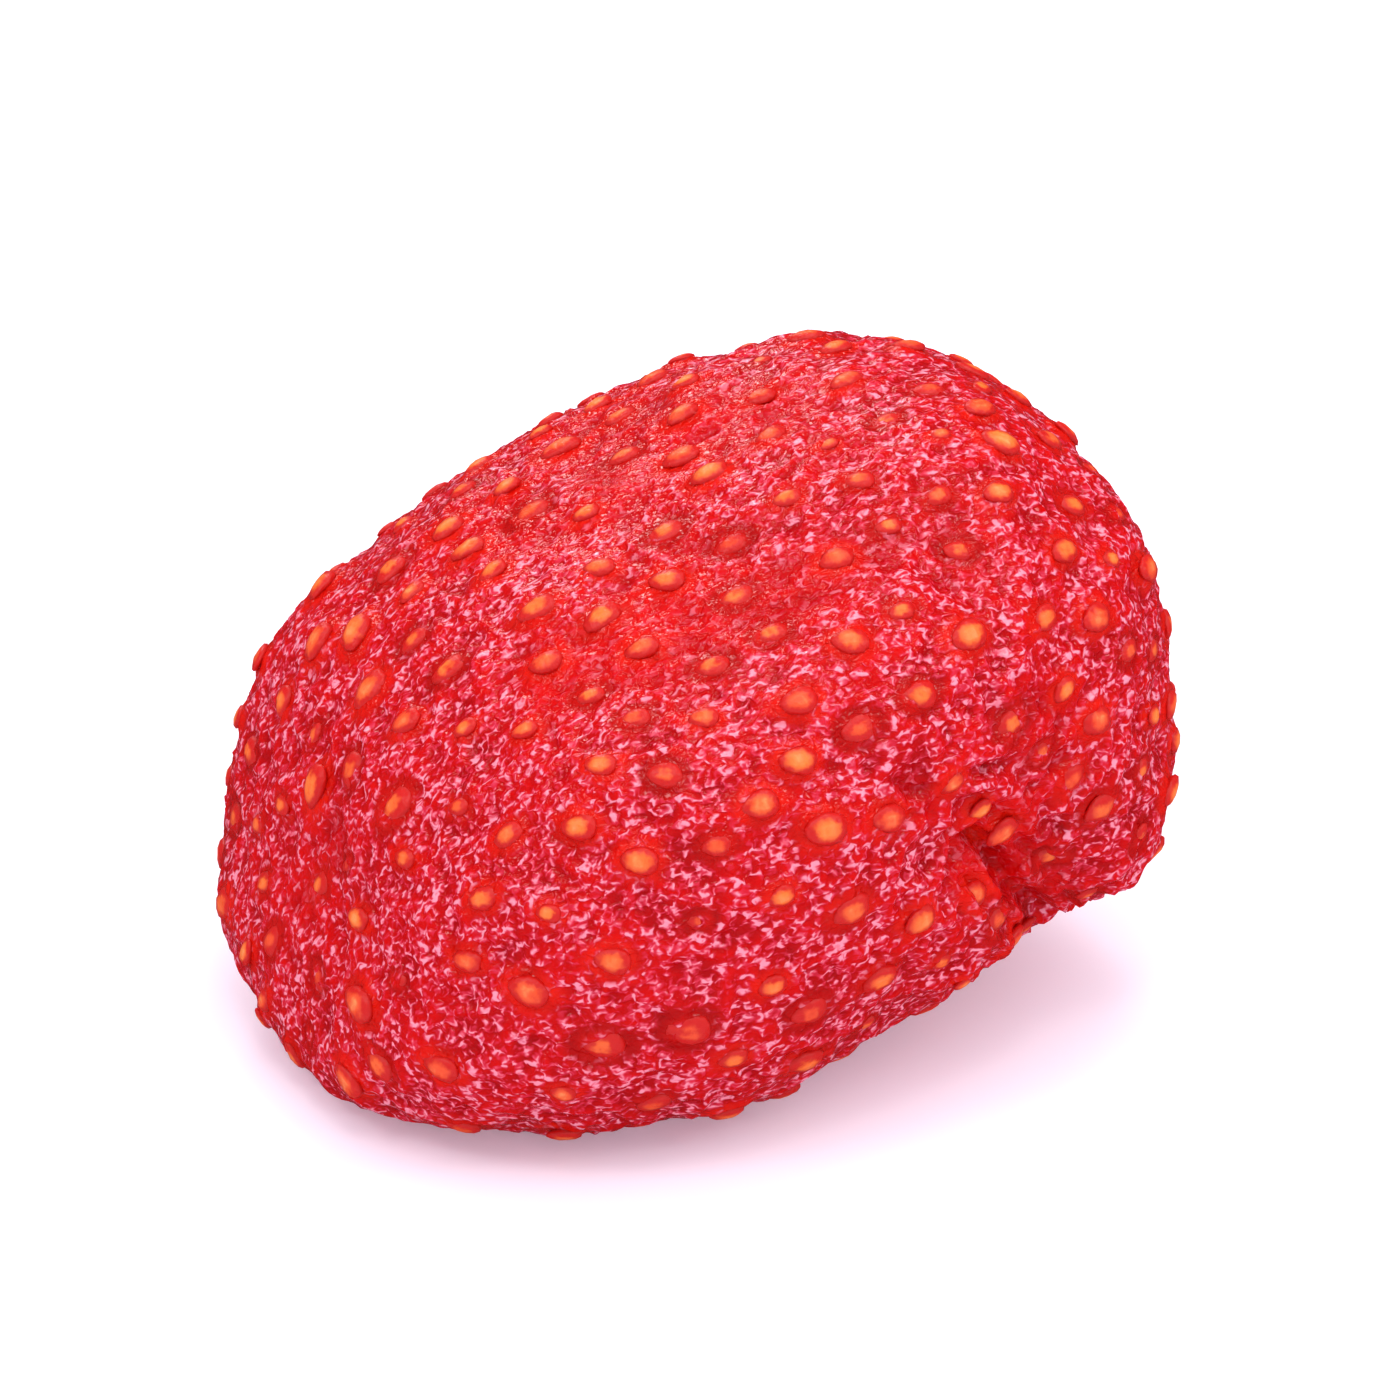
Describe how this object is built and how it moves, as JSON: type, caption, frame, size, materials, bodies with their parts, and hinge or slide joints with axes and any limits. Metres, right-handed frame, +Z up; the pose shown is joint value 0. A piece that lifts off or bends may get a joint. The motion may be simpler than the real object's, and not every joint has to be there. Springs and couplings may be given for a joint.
{
  "type": "dried strawberry",
  "caption": "Whole hulled dried strawberry lying on its side, with raised seeds, shrink hollows and a small flat spot that it rests on.",
  "frame": {"origin": "on the surface the fruit lies on, under the middle of its bounding box", "axes": "+X runs from the tip to the stem end, -Y is the side that faces the viewer, +Z is up"},
  "size_m": [0.0351, 0.0294, 0.0242],
  "materials": {
    "skin": "glossy translucent dried fruit skin"
  },
  "bodies": {
    "root": {"strawberry": "skin"}
  },
  "joints": []
}
